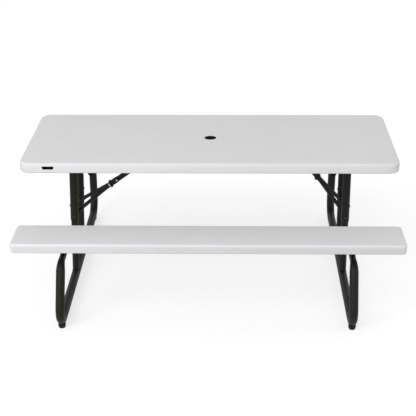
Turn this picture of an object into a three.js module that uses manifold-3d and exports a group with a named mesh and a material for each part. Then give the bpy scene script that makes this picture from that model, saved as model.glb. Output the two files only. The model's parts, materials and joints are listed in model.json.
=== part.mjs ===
// A folding picnic table: a moulded table top and two moulded benches on a pair of steel tube
// frames that swing flat together. Millimetres, +Z up. The origin is on the ground under the
// middle of the table, +X runs along the table and -Y is the near side.
import * as THREE from "three";
import { mergeVertices } from "three/addons/utils/BufferGeometryUtils.js";
import Module from "manifold-3d";

const wasm = await Module();
wasm.setup();

// Table top
const tableLength = 1829;
const tableWidth = 762;
const tableHeight = 737;
const tableEdgeDepth = 51;
const tableCornerRadius = 55;
const tableEdgeRound = 12;
const tableRimWidth = 26;
const tablePanel = 28;

// Umbrella hole and its plug
const umbrellaHole = 52;
const plugLip = 3.5;
const plugFlangeHeight = 3;
const plugEdge = 1;
const plugDepth = 13;
const plugWall = 2.5;

// Benches
const benchLength = 1829;
const benchWidth = 229;
const benchHeight = 468;
const benchEdgeDepth = 47;
const benchCornerRadius = 20;
const benchEdgeRound = 10;
const benchRimWidth = 17;
const benchPanel = 24;
const overallWidth = 1448;

// Sled tubes of the end frames
const frameInset = 226.5;
const tubeDiameter = 43;
const tubeWall = 1.6;
const baseHeight = 34;
const uprightInset = 81;
const uprightLean = 15.2;
const footBend = 80;
const shoulderBend = 48;
const journalDrop = 109;
const journalDiameter = 31;
const journalInset = 33;

// Plugs in the bench journals, with a pin for the bench bracket
const capLength = 16;
const capCollar = 2;
const capPin = 18;
const capHead = 26;
const capHeadHeight = 3;

// How far the frames stand off plumb to the left, at the bench journals and at the feet
const journalOffset = 5;
const rightFootOffset = 2;
const leftFootOffset = 15;

// Legs and their fastenings
const legSpacing = 236;
const legDiameter = 41;
const legWall = 2;
const hingeDrop = 52;
const upperLegTail = 25;
const slideGap = 0.7;
const lowerLegLap = 34;
const legBoltRise = 56;
const boltDiameter = 8;
const boltHead = 15;
const boltHeadHeight = 5;
const boltHeadBevel = 2;
const nutHeight = 6;
const buttonHead = 13;
const buttonHeight = 2;
const rivetHead = 12;

// Feet
const glideDiameter = 36;
const glideTip = 31;
const glideRound = 5;
const glideInset = 72;

// Folding braces
const braceRise = 301;
const leftBraceReach = 411;
const rightBraceReach = 243;
const forkLength = 260;
const bendFromKnee = 65;
const armDiameter = 19.5;
const eyeDiameter = 26;
const eyeThickness = 5;
const linkThickness = 12;
const linkWidth = 25;
const ringFromKnee = 40;
const ringWall = 3;
const ringLength = 8;
const ringFlat = 2;

// Sheet steel brackets
const plateThickness = 3;
const weldLap = 1;
const hingePinDiameter = 10;
const hingePinHead = 17;
const hingeEye = 15;
const hingeCheekWidth = 60;
const hingeFlange = 18;
const hingeBracketLength = 84;
const braceEye = 13;
const braceCheekWidth = 52;
const braceFlange = 22;
const braceBracketLength = 80;
const benchCheek = 4;
const benchSaddle = 34;
const benchCheekWidth = 64;
const benchBracketLength = 84;
const saddleInset = 30;

// Between pieces that touch, and between pieces that move past each other
const fitGap = 0.3;
const looseGap = 0.9;

const tubeSides = 18;
const rodSides = 12;
const bendSteps = 6;
const arcSteps = 6;
const edgeSteps = 3;
const cornerSteps = 5;

const tubeRadius = tubeDiameter / 2;
const frameX = tableLength / 2 - frameInset;
const legRadius = legDiameter / 2;
const legY = legSpacing / 2;
const uprightY = overallWidth / 2 - uprightInset;
const tableUnderside = tableHeight - tablePanel;
const benchUnderside = benchHeight - benchPanel;
const benchY = (overallWidth - benchWidth) / 2;
const hingeHeight = tableUnderside - hingeDrop;
const braceFootHeight = hingeHeight - braceRise;
const upperLegEnd = braceFootHeight - upperLegTail;
const legBoltHeight = braceFootHeight + legBoltRise;
const lowerLegEnd = legBoltHeight + lowerLegLap;
const journalHeight = benchUnderside - journalDrop;
const journalEnd = benchY - benchWidth / 2 + benchRimWidth + journalInset;
const leanSlope = Math.tan(THREE.MathUtils.degToRad(uprightLean));
const baseCornerY = uprightY + (journalHeight - baseHeight) * leanSlope;
const lowerLegDiameter = legDiameter - 2 * (legWall + slideGap);
const plugFlange = umbrellaHole + 2 * plugLip;

const mouldedWhite = () =>
  new THREE.MeshStandardMaterial({ color: 0xd8d7d5, roughness: 0.55, metalness: 0 });
const bronzeSteel = () =>
  new THREE.MeshStandardMaterial({ color: 0x32322e, roughness: 0.45, metalness: 0.4 });
const blackPlastic = () =>
  new THREE.MeshStandardMaterial({ color: 0x101010, roughness: 0.6, metalness: 0 });
const zincSteel = () =>
  new THREE.MeshStandardMaterial({ color: 0xb4b4b0, roughness: 0.35, metalness: 0.9 });

// A closed geometry as a solid that can be joined and cut
function solid(geometry) {
  const bare = new THREE.BufferGeometry();
  bare.setAttribute("position", geometry.getAttribute("position"));
  bare.setIndex(geometry.index);
  const merged = mergeVertices(bare, 1e-3);
  const corners = merged.index.array;
  const kept = [];
  for (let i = 0; i < corners.length; i += 3) {
    const [a, b, c] = corners.slice(i, i + 3);
    if (a !== b && b !== c && c !== a) kept.push(a, b, c);
  }
  const vertProperties = merged.getAttribute("position").array;
  const triVerts = new Uint32Array(kept);
  return new wasm.Manifold(new wasm.Mesh({ numProp: 3, vertProperties, triVerts }));
}

function geometryOf(body) {
  const mesh = body.getMesh();
  const geometry = new THREE.BufferGeometry();
  geometry.setAttribute("position", new THREE.BufferAttribute(mesh.vertProperties, 3));
  geometry.setIndex(new THREE.BufferAttribute(mesh.triVerts, 1));
  geometry.computeVertexNormals();
  return geometry;
}

// Adds one named piece to a group
function piece(group, name, body, material) {
  const mesh = new THREE.Mesh(geometryOf(body), material);
  mesh.name = name;
  group.add(mesh);
}

function box(low, high) {
  const size = high.map((value, i) => value - low[i]);
  const middle = high.map((value, i) => (value + low[i]) / 2);
  return solid(new THREE.BoxGeometry(...size).translate(...middle));
}

// Turns a geometry made along +Y to run along a direction from a point
function along(geometry, start, direction) {
  const up = new THREE.Vector3(0, 1, 0);
  const turn = new THREE.Quaternion().setFromUnitVectors(up, direction);
  return geometry.applyQuaternion(turn).translate(start.x, start.y, start.z);
}

// A round bar between two points
function rod(start, end, radius) {
  const from = new THREE.Vector3(...start);
  const reach = new THREE.Vector3(...end).sub(from);
  const length = reach.length();
  const bar = new THREE.CylinderGeometry(radius, radius, length, rodSides);
  return solid(along(bar.translate(0, length / 2, 0), from, reach.normalize()));
}

// A turned piece: its profile is [radius, height] pairs from axis to axis, upwards
function turned(profile, start, direction) {
  const points = profile.map(([radius, height]) => new THREE.Vector2(radius, height));
  const shape = new THREE.LatheGeometry(points, rodSides);
  return solid(along(shape, new THREE.Vector3(...start), new THREE.Vector3(...direction)));
}

// A bolt with a low head below zero height, and a nut past the grip
function bolt(grip, diameter, head, start, direction) {
  const profile = [
    [0, -boltHeadHeight],
    [head / 2 - boltHeadBevel, -boltHeadHeight],
    [head / 2, -boltHeadHeight / 2],
    [head / 2, 0],
    [diameter / 2, 0],
    [diameter / 2, grip],
    [head / 2, grip],
    [head / 2, grip + nutHeight],
    [0, grip + nutHeight],
  ];
  return turned(profile, start, direction);
}

function roundedOutline(length, width, radius) {
  const x = length / 2 - radius;
  const y = width / 2 - radius;
  const outline = new THREE.Shape();
  outline.absarc(x, y, radius, 0, Math.PI / 2);
  outline.absarc(-x, y, radius, Math.PI / 2, Math.PI);
  outline.absarc(-x, -y, radius, Math.PI, Math.PI * 1.5);
  outline.absarc(x, -y, radius, Math.PI * 1.5, Math.PI * 2);
  return outline;
}

// A moulded board: rounded edges above, and a turned down rim round a recessed underside
function mouldedBoard(length, width, top, depth, corner, round, rim, panel) {
  const outer = new THREE.ExtrudeGeometry(roundedOutline(length, width, corner), {
    depth: depth - 2 * round,
    bevelThickness: round,
    bevelSize: round,
    bevelOffset: -round,
    bevelSegments: edgeSteps,
    curveSegments: cornerSteps,
  });
  const recessCorner = Math.max(corner - rim, round / 2);
  const recess = new THREE.ExtrudeGeometry(
    roundedOutline(length - 2 * rim, width - 2 * rim, recessCorner),
    { depth, bevelEnabled: false, curveSegments: cornerSteps },
  );
  const board = solid(outer.translate(0, 0, top - depth + round));
  return board.subtract(solid(recess.translate(0, 0, top - panel - depth)));
}

// The radius of a faceted hole whose flats lie at the given radius
const facetedBore = (radius) => radius / Math.cos(Math.PI / (2 * arcSteps));

// A bracket cheek square to Y: wide at its top edge and round about the bored eye at its foot
function cheek(halfWidth, top, axis, eye, bore, nearY, thickness) {
  const outline = new THREE.Shape();
  outline.moveTo(-halfWidth, top);
  outline.lineTo(-eye, axis);
  outline.absarc(0, axis, eye, Math.PI, Math.PI * 2);
  outline.lineTo(halfWidth, top);
  const hole = new THREE.Path();
  hole.absarc(0, axis, facetedBore(bore), 0, Math.PI * 2, true);
  outline.holes.push(hole);
  const plate = new THREE.ExtrudeGeometry(outline, {
    depth: thickness,
    bevelEnabled: false,
    curveSegments: arcSteps,
  });
  return solid(plate.rotateX(Math.PI / 2).translate(0, nearY + thickness, 0));
}

// Stations along a path in the YZ plane with each corner rounded. A station's swage runs from 0,
// the full tube, to 1, the reduced journal at an end of the tube.
function bentPath(corners, bends) {
  const stations = [];
  const last = corners.length - 1;
  const heading = (i) => {
    const [from, to] = [corners[i], corners[i + 1]];
    const length = Math.hypot(to[0] - from[0], to[1] - from[1]);
    return [(to[0] - from[0]) / length, (to[1] - from[1]) / length];
  };
  stations.push({ at: corners[0], to: heading(0), swage: 1 });
  for (let i = 1; i < last; i++) {
    const [a, b] = [heading(i - 1), heading(i)];
    const turn = Math.atan2(a[0] * b[1] - a[1] * b[0], a[0] * b[0] + a[1] * b[1]);
    const setback = bends[i - 1] * Math.tan(Math.abs(turn) / 2);
    const bend = bends[i - 1] * Math.sign(turn);
    const middle = [
      corners[i][0] - a[0] * setback - a[1] * bend,
      corners[i][1] - a[1] * setback + a[0] * bend,
    ];
    for (let step = 0; step <= bendSteps; step++) {
      const share = step / bendSteps;
      const [c, s] = [Math.cos(turn * share), Math.sin(turn * share)];
      const to = [a[0] * c - a[1] * s, a[0] * s + a[1] * c];
      const at = [middle[0] + to[1] * bend, middle[1] - to[0] * bend];
      const swage = i === 1 ? 1 - share : i === last - 1 ? share : 0;
      stations.push({ at, to, swage });
    }
  }
  stations.push({ at: corners[last], to: heading(last - 1), swage: 1 });
  return stations;
}

// The skin of a round bar swept along stations, closed at both ends, or of a pipe with a wall. It
// stands off the YZ plane by an offset that goes with the height.
function swept(stations, radiusAt, wall, offsetAt) {
  const positions = [];
  const index = [];
  const ring = (station, radius) => {
    for (let k = 0; k < tubeSides; k++) {
      const angle = (k / tubeSides) * Math.PI * 2;
      const [x, side] = [radius * Math.cos(angle), radius * Math.sin(angle)];
      const [y, z] = station.at;
      positions.push(offsetAt(z) + x, y - side * station.to[1], z + side * station.to[0]);
    }
  };
  stations.forEach((station) => ring(station, radiusAt(station)));
  const count = stations.length;
  if (wall) stations.forEach((station) => ring(station, radiusAt(station) - wall));
  const quad = (a, b, k, flip) => {
    const next = (k + 1) % tubeSides;
    const [p, q, r, s] = [a + k, a + next, b + next, b + k];
    if (flip) index.push(p, q, r, p, r, s);
    else index.push(p, r, q, p, s, r);
  };
  const inner = count * tubeSides;
  const far = (count - 1) * tubeSides;
  for (let k = 0; k < tubeSides; k++) {
    for (let i = 0; i + 1 < count; i++) {
      quad(i * tubeSides, (i + 1) * tubeSides, k, false);
      if (wall) quad(inner + i * tubeSides, inner + (i + 1) * tubeSides, k, true);
    }
    if (wall) {
      quad(0, inner, k, true);
      quad(far, inner + far, k, false);
    } else if (k > 0 && k + 1 < tubeSides) {
      index.push(0, k, k + 1);
      index.push(far, far + k + 1, far + k);
    }
  }
  const geometry = new THREE.BufferGeometry();
  geometry.setAttribute("position", new THREE.Float32BufferAttribute(positions, 3));
  geometry.setIndex(index);
  return solid(geometry);
}

// A straight leg pipe
function legPipe(y, low, high, diameter, offsetAt) {
  const stations = [low, high].map((z) => ({ at: [y, z], to: [0, 1], swage: 0 }));
  return swept(stations, () => diameter / 2, legWall, offsetAt);
}

const table = new THREE.Group();
const whole = new THREE.Group();
whole.add(table);

// Table top with the umbrella hole and its plug
const tableBoard = mouldedBoard(
  tableLength,
  tableWidth,
  tableHeight,
  tableEdgeDepth,
  tableCornerRadius,
  tableEdgeRound,
  tableRimWidth,
  tablePanel,
);
const plugSeat = tableHeight - plugFlangeHeight - 2 * fitGap;
const umbrellaBore = rod(
  [0, 0, tableUnderside - tablePanel],
  [0, 0, tableHeight + tablePanel],
  umbrellaHole / 2,
);
const plugRecess = rod(
  [0, 0, plugSeat],
  [0, 0, tableHeight + tablePanel],
  plugFlange / 2 + 2 * fitGap,
);
const boredBoard = tableBoard.subtract(umbrellaBore).subtract(plugRecess);
piece(table, "table_top", boredBoard, mouldedWhite());

// The plug lies flush in its recess: a flange on a skirt that is open below
const plugSkirt = umbrellaHole / 2 - looseGap;
const plugProfile = [
  [0, plugFlangeHeight - plugWall],
  [plugSkirt - plugWall, plugFlangeHeight - plugWall],
  [plugSkirt - plugWall, -plugDepth],
  [plugSkirt, -plugDepth],
  [plugSkirt, 0],
  [plugFlange / 2, 0],
  [plugFlange / 2, plugFlangeHeight - plugEdge],
  [plugFlange / 2 - plugEdge, plugFlangeHeight],
  [0, plugFlangeHeight],
];
const plug = turned(plugProfile, [0, 0, plugSeat + fitGap], [0, 0, 1]);
piece(table, "umbrella_plug", plug, blackPlastic());

// A sled tube: a base along the ground, uprights that lean outwards to their feet, and a journal
// bent inwards under each bench
const sledCorners = [
  [-journalEnd, journalHeight],
  [-uprightY, journalHeight],
  [-baseCornerY, baseHeight],
  [baseCornerY, baseHeight],
  [uprightY, journalHeight],
  [journalEnd, journalHeight],
];
const sledStations = bentPath(sledCorners, [shoulderBend, footBend, footBend, shoulderBend]);
const sledRadius = ({ swage }) => tubeRadius + (swage * (journalDiameter - tubeDiameter)) / 2;

// One leg of a frame: the upper tube hangs on the hinge pin, and the lower tube is welded to the
// sled tube, slides up inside it and is held there by a bolt with a low button at each end
function addLeg(group, name, side, offsetAt, sledRoom) {
  const y = side * legY;
  const pivotX = offsetAt(braceFootHeight);
  const pinBore = rod(
    [0, y - legDiameter, hingeHeight],
    [0, y + legDiameter, hingeHeight],
    hingePinDiameter / 2 + fitGap,
  );
  const boltBore = rod(
    [-legDiameter, y, legBoltHeight],
    [legDiameter, y, legBoltHeight],
    boltDiameter / 2 + fitGap,
  );
  const pivotBore = rod(
    [pivotX, y - legDiameter, braceFootHeight],
    [pivotX, y + legDiameter, braceFootHeight],
    boltDiameter / 2 + fitGap,
  );
  const upper = legPipe(y, upperLegEnd, hingeHeight + legRadius, legDiameter, offsetAt);
  const upperBored = upper.subtract(pinBore).subtract(boltBore).subtract(pivotBore);
  piece(group, `${name}_upper_leg`, upperBored, bronzeSteel());

  const lower = legPipe(y, baseHeight, lowerLegEnd, lowerLegDiameter, offsetAt);
  const lowerBored = lower.subtract(boltBore).subtract(pivotBore).subtract(sledRoom);
  const parts = lowerBored.decompose();
  const largest = parts.reduce((a, b) => (a.volume() > b.volume() ? a : b));
  piece(group, `${name}_lower_leg`, largest, bronzeSteel());

  const grip = legDiameter + 2 * fitGap;
  const buttonProfile = [
    [0, -buttonHeight],
    [buttonHead / 2 - buttonHeight, -buttonHeight],
    [buttonHead / 2, 0],
    [boltDiameter / 2, 0],
    [boltDiameter / 2, grip],
    [buttonHead / 2, grip],
    [buttonHead / 2 - buttonHeight, grip + buttonHeight],
    [0, grip + buttonHeight],
  ];
  const legBolt = turned(
    buttonProfile,
    [offsetAt(legBoltHeight) + legRadius + fitGap, y, legBoltHeight],
    [-1, 0, 0],
  );
  piece(group, `${name}_leg_bolt`, legBolt, zincSteel());

  const pivotGrip = grip + eyeThickness + looseGap;
  const pivotBolt = bolt(
    pivotGrip,
    boltDiameter,
    boltHead,
    [pivotX, y + side * (legRadius + fitGap), braceFootHeight],
    [0, -side, 0],
  );
  piece(group, `${name}_brace_bolt`, pivotBolt, zincSteel());
}

// A hinge bracket under the table, a folded channel with two bored cheeks, and its pin
function addHinge(group, name, side) {
  const y = side * legY;
  const inside = legRadius + 2 * fitGap;
  const outside = inside + plateThickness;
  const plateFoot = tableUnderside - fitGap - plateThickness;
  const cheekTop = plateFoot + weldLap;
  const plate = box(
    [-hingeBracketLength / 2, y - outside - hingeFlange, plateFoot],
    [hingeBracketLength / 2, y + outside + hingeFlange, tableUnderside - fitGap],
  );
  const bore = hingePinDiameter / 2 + fitGap;
  const cheekAt = (nearY) =>
    cheek(hingeCheekWidth / 2, cheekTop, hingeHeight, hingeEye, bore, nearY, plateThickness);
  const bracket = plate.add(cheekAt(y - outside)).add(cheekAt(y + inside));
  piece(group, `${name}_hinge_bracket`, bracket, bronzeSteel());

  const grip = 2 * (outside + fitGap);
  const pin = bolt(
    grip,
    hingePinDiameter,
    hingePinHead,
    [0, y + side * (outside + fitGap), hingeHeight],
    [0, -side, 0],
  );
  piece(group, `${name}_hinge_pin`, pin, zincSteel());
}

// A rubber glide under a foot bend, hollowed to the tube that it is pressed against
function addGlide(group, name, side, x, sledRoom) {
  const y = side * (overallWidth / 2 - glideInset);
  const profile = [
    [0, 0],
    [glideTip / 2 - glideRound / 2, 0],
    [glideTip / 2, glideRound / 2],
    [glideDiameter / 2, glideRound * 2],
    [glideDiameter / 2, baseHeight],
    [0, baseHeight],
  ];
  const glide = turned(profile, [x, y, 0], [0, 0, 1]).subtract(sledRoom);
  piece(group, `${name}_foot_glide`, glide, blackPlastic());
}

// A plug in the open end of a bench journal: its collar closes the tube, and a headed pin beyond it
// carries the inner cheek of the bench bracket
function addJournalCap(group, name, side) {
  const spigot = journalDiameter / 2 - tubeWall - fitGap;
  const pinStart = fitGap + capCollar;
  const pinEnd = pinStart + benchCheek + 2 * fitGap;
  const profile = [
    [0, -capLength],
    [spigot, -capLength],
    [spigot, fitGap],
    [journalDiameter / 2, fitGap],
    [journalDiameter / 2, pinStart],
    [capPin / 2, pinStart],
    [capPin / 2, pinEnd],
    [capHead / 2, pinEnd],
    [capHead / 2, pinEnd + capHeadHeight],
    [0, pinEnd + capHeadHeight],
  ];
  const cap = turned(profile, [0, side * journalEnd, journalHeight], [0, -side, 0]);
  piece(group, `${name}_journal_cap`, cap, blackPlastic());
}

// A bench bracket: its outer cheek rides on top of the journal, and its inner one hangs on the pin
// of the journal cap
function addBenchBracket(group, name, side) {
  const journalTop = journalHeight + journalDiameter / 2 + fitGap;
  const innerY = journalEnd - capCollar - 2 * fitGap - benchCheek;
  const outerY = uprightY - shoulderBend - saddleInset - benchCheek;
  const plateFoot = benchUnderside - fitGap - plateThickness;
  const cheekTop = plateFoot + weldLap;
  const span = (from, to) => (side > 0 ? [from, to] : [-to, -from]);
  const [plateLow, plateHigh] = span(innerY, outerY + benchCheek);
  const plate = box(
    [-benchBracketLength / 2, plateLow, plateFoot],
    [benchBracketLength / 2, plateHigh, benchUnderside - fitGap],
  );
  const [saddleLow, saddleHigh] = span(outerY, outerY + benchCheek);
  const saddle = box(
    [-benchSaddle / 2, saddleLow, journalTop],
    [benchSaddle / 2, saddleHigh, cheekTop],
  );
  const [innerLow] = span(innerY, innerY + benchCheek);
  const eye = cheek(
    benchCheekWidth / 2,
    cheekTop,
    journalHeight,
    journalDiameter / 2,
    capPin / 2 + fitGap,
    innerLow,
    benchCheek,
  );
  piece(group, name, plate.add(saddle).add(eye), bronzeSteel());
}

// A two part brace: a fork of two arms on the legs and a link under the table, which meet at the
// knee, with a lock ring round the arms. It is made along X from the fork's foot.
function addBrace(frameGroup, name, reach, footX, armNames) {
  const length = Math.hypot(braceRise, reach + footX);
  const brace = new THREE.Group();
  brace.position.set(footX, 0, braceFootHeight);
  brace.rotation.y = Math.PI + Math.atan2(braceRise, reach + footX);
  frameGroup.add(brace);

  const innerFace = linkThickness / 2 + fitGap;
  const footFace = legY - legRadius - looseGap;
  const armRadius = armDiameter / 2;
  const armY = innerFace + armRadius;
  const kneeNeck = forkLength - rivetHead / 2 - looseGap;
  const bore = boltDiameter / 2 + fitGap;
  for (const side of [-1, 1]) {
    const span = (from, to) => (side > 0 ? [from, to] : [-to, -from]);
    const [footLow, footHigh] = span(footFace - eyeThickness, footFace);
    const [kneeLow, kneeHigh] = span(innerFace, innerFace + eyeThickness);
    const [roomLow, roomHigh] = span(innerFace, footFace);
    const bend = [forkLength - bendFromKnee, side * armY, 0];
    const knuckle = new THREE.SphereGeometry(armRadius, rodSides, rodSides);
    const bar = rod([0, side * (footFace - armRadius), 0], bend, armRadius)
      .add(solid(knuckle.translate(...bend)))
      .add(rod(bend, [kneeNeck, side * armY, 0], armRadius));
    const room = box(
      [-eyeDiameter, roomLow, -eyeDiameter],
      [forkLength + eyeDiameter, roomHigh, eyeDiameter],
    );
    const footEye = rod([0, footLow, 0], [0, footHigh, 0], eyeDiameter / 2);
    const kneeEye = rod([forkLength, kneeLow, 0], [forkLength, kneeHigh, 0], eyeDiameter / 2);
    const footBore = rod([0, 0, 0], [0, side * legY, 0], bore);
    const kneeBore = rod([forkLength, 0, 0], [forkLength, side * legY, 0], bore);
    const nutRoom = rod(
      [0, side * (footFace - eyeThickness), 0],
      [0, 0, 0],
      boltHead / 2 + 2 * fitGap,
    );
    const headRoom = rod(
      [forkLength, side * (innerFace + eyeThickness), 0],
      [forkLength, side * legY, 0],
      rivetHead / 2 + 2 * fitGap,
    );
    const arm = bar
      .intersect(room)
      .subtract(nutRoom)
      .subtract(headRoom)
      .add(footEye)
      .add(kneeEye)
      .subtract(footBore)
      .subtract(kneeBore);
    piece(brace, `${armNames[side]}_fork_arm`, arm, bronzeSteel());

    const rivetProfile = [
      [0, 0],
      [boltDiameter / 2, 0],
      [boltDiameter / 2, eyeThickness + fitGap],
      [rivetHead / 2, eyeThickness + fitGap],
      [rivetHead / 2 - boltHeadBevel, eyeThickness + boltHeadHeight / 2],
      [0, eyeThickness + boltHeadHeight],
    ];
    const rivet = turned(rivetProfile, [forkLength, side * innerFace, 0], [0, side, 0]);
    piece(brace, `${armNames[side]}_knee_rivet`, rivet, zincSteel());
  }

  const half = linkWidth / 2;
  const outline = new THREE.Shape();
  outline.absarc(length, 0, half, -Math.PI / 2, Math.PI / 2);
  outline.absarc(forkLength, 0, half, Math.PI / 2, Math.PI * 1.5);
  for (const x of [forkLength, length]) {
    const hole = new THREE.Path();
    hole.absarc(x, 0, facetedBore(bore), 0, Math.PI * 2, true);
    outline.holes.push(hole);
  }
  const strap = new THREE.ExtrudeGeometry(outline, {
    depth: linkThickness,
    bevelEnabled: false,
    curveSegments: arcSteps,
  });
  const link = solid(strap.rotateX(Math.PI / 2).translate(0, linkThickness / 2, 0));
  piece(brace, `${name}_brace_link`, link, bronzeSteel());

  const ringAt = forkLength - ringFromKnee;
  const ringHalf = armY + armRadius + fitGap;
  const ringRise = eyeDiameter / 2 + looseGap;
  const loop = (grow) => {
    const rise = ringRise + grow;
    const section = new THREE.ExtrudeGeometry(
      roundedOutline(2 * rise, 2 * (ringHalf + grow), rise - ringFlat / 2),
      { depth: ringLength, bevelEnabled: false, curveSegments: cornerSteps },
    );
    return solid(section.rotateY(Math.PI / 2).translate(ringAt - ringLength / 2, 0, 0));
  };
  piece(brace, `${name}_lock_ring`, loop(ringWall).subtract(loop(0)), bronzeSteel());

  addBraceBracket(frameGroup, name, -reach);
}

// The bracket that holds a brace link under the table, and its pin
function addBraceBracket(frameGroup, name, x) {
  const group = new THREE.Group();
  group.position.x = x;
  frameGroup.add(group);
  const inside = linkThickness / 2 + 2 * fitGap;
  const outside = inside + plateThickness;
  const plateFoot = tableUnderside - fitGap - plateThickness;
  const cheekTop = plateFoot + weldLap;
  const plate = box(
    [-braceBracketLength / 2, -outside - braceFlange, plateFoot],
    [braceBracketLength / 2, outside + braceFlange, tableUnderside - fitGap],
  );
  const bore = boltDiameter / 2 + fitGap;
  const cheekAt = (nearY) =>
    cheek(braceCheekWidth / 2, cheekTop, hingeHeight, braceEye, bore, nearY, plateThickness);
  const bracket = plate.add(cheekAt(-outside)).add(cheekAt(inside));
  piece(group, `${name}_brace_bracket`, bracket, bronzeSteel());

  const grip = 2 * (outside + fitGap);
  const start = [0, -outside - fitGap, hingeHeight];
  const pin = bolt(grip, boltDiameter, boltHead, start, [0, 1, 0]);
  piece(group, `${name}_brace_pin`, pin, zincSteel());
}

// The benches
for (const [bench, side] of [["near", -1], ["far", 1]]) {
  const group = new THREE.Group();
  group.position.y = side * benchY;
  whole.add(group);
  const board = mouldedBoard(
    benchLength,
    benchWidth,
    benchHeight,
    benchEdgeDepth,
    benchCornerRadius,
    benchEdgeRound,
    benchRimWidth,
    benchPanel,
  );
  piece(group, `${bench}_bench`, board, mouldedWhite());
}

// The two end frames are alike, apart from their braces and how they stand. The left one is turned
// half round the Z axis.
for (const [end, turn, journalX, footX, reach] of [
  ["right", 0, -journalOffset, -rightFootOffset, rightBraceReach],
  ["left", Math.PI, journalOffset, leftFootOffset, leftBraceReach],
]) {
  const group = new THREE.Group();
  group.rotation.z = turn;
  group.position.x = turn ? -frameX : frameX;
  whole.add(group);
  const journals = new THREE.Group();
  journals.position.x = journalX;
  group.add(journals);

  const sledOffset = (z) =>
    footX + ((journalX - footX) * (z - baseHeight)) / (journalHeight - baseHeight);
  const legOffset = (z) => (footX * (hingeHeight - z)) / (hingeHeight - baseHeight);
  const sled = swept(sledStations, sledRadius, tubeWall, sledOffset);
  const sledRoom = swept(sledStations, (at) => sledRadius(at) + fitGap, 0, sledOffset);
  piece(group, `${end}_sled_tube`, sled, bronzeSteel());
  const names = {};
  for (const side of [-1, 1]) {
    const place = (side < 0) === (turn === 0) ? "near" : "far";
    const name = `${end}_${place}`;
    names[side] = name;
    addLeg(group, name, side, legOffset, sledRoom);
    addHinge(group, name, side);
    addGlide(group, name, side, footX, sledRoom);
    addJournalCap(journals, name, side);
    addBenchBracket(journals, `${place}_bench_${end}_bracket`, side);
  }
  addBrace(group, end, reach, legOffset(braceFootHeight), names);
}

export default whole;
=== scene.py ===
import json
from math import cos, hypot, pi, radians, sin, sqrt, tan

import bmesh
import bpy
from mathutils import Matrix, Vector


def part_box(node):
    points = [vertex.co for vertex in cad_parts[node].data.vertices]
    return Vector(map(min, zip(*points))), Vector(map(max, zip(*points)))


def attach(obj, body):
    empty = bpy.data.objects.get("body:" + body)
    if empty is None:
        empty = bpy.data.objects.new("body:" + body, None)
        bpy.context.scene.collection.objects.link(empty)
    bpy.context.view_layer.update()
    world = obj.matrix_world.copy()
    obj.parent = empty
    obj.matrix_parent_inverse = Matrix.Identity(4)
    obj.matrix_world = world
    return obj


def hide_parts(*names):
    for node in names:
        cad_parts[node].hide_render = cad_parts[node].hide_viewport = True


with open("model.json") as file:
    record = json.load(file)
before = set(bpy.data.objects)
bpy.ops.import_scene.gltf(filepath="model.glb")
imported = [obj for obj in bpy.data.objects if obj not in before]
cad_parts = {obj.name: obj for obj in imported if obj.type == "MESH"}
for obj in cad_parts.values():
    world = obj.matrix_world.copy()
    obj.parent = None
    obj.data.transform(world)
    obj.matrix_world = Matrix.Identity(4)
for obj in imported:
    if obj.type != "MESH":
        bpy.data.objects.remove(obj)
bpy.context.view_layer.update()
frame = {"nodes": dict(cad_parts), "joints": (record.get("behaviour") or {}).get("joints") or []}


# Table top: a hollow board blow moulded in off-white polyethylene, with a rounded edge and a turned
# down rim. Rows of cones pressed into its underside join the two walls, and an umbrella pole goes
# through the hole in the middle.
class Wire:
    """A socket in a tree of nodes. Arithmetic on wires adds Math nodes to that tree."""

    def __init__(self, tree, socket=None):
        self.tree = tree
        self.socket = socket

    def node(self, kind, settings=None, sockets=None, output=0):
        """The wire from one output of a new node in the same tree."""
        made = self.tree.nodes.new(kind)
        for name, value in (settings or {}).items():
            setattr(made, name, value)
        for name, value in (sockets or {}).items():
            if isinstance(value, Wire):
                self.tree.links.new(value.socket, made.inputs[name])
            else:
                made.inputs[name].default_value = value
        return Wire(self.tree, made.outputs[output] if made.outputs else None)

    def math(self, operation, first, second):
        return self.node("ShaderNodeMath", {"operation": operation}, {0: first, 1: second})

    def __add__(self, other):
        return self.math("ADD", self, other)

    def __radd__(self, other):
        return self.math("ADD", other, self)

    def __sub__(self, other):
        return self.math("SUBTRACT", self, other)

    def __rsub__(self, other):
        return self.math("SUBTRACT", other, self)

    def __mul__(self, other):
        return self.math("MULTIPLY", self, other)

    def __rmul__(self, other):
        return self.math("MULTIPLY", other, self)

    def __truediv__(self, other):
        return self.math("DIVIDE", self, other)


def new_material(name):
    """An empty material, and a wire on which its nodes are made."""
    made = bpy.data.materials.new(name)
    made.use_nodes = True
    made.node_tree.nodes.clear()
    return made, Wire(made.node_tree)


def object_place(wire):
    """Where a point lies on the object, in metres."""
    return wire.node("ShaderNodeTexCoord", output="Object")


def noise(wire, place, scale, detail, roughness):
    """Fractal noise from 0 to 1, at so many cells to the metre."""
    sockets = {"Vector": place, "Scale": scale, "Detail": detail, "Roughness": roughness}
    return wire.node("ShaderNodeTexNoise", sockets=sockets)


def limited(wire, value, low, high):
    """0 below low, 1 above high, and a smooth rise between them."""
    return wire.node(
        "ShaderNodeMapRange",
        {"interpolation_type": "SMOOTHSTEP"},
        {"Value": value, "From Min": low, "From Max": high},
    )


def mixed(wire, share, first, second):
    """One colour at a share of 0, another at 1, and their mixtures between."""
    return wire.node("ShaderNodeMix", {"data_type": "RGBA"}, {0: share, 6: first, 7: second}, 2)


def bumped(wire, strength, distance, height):
    """A normal that follows a height map."""
    sockets = {"Strength": strength, "Distance": distance, "Height": height}
    return wire.node("ShaderNodeBump", sockets=sockets)


def surface(wire, **sockets):
    """Puts a Principled shader with these sockets on the material."""
    named = {name.replace("_", " "): value for name, value in sockets.items()}
    shader = wire.node("ShaderNodeBsdfPrincipled", sockets=named)
    wire.node("ShaderNodeOutputMaterial", sockets={"Surface": shader})


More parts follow.
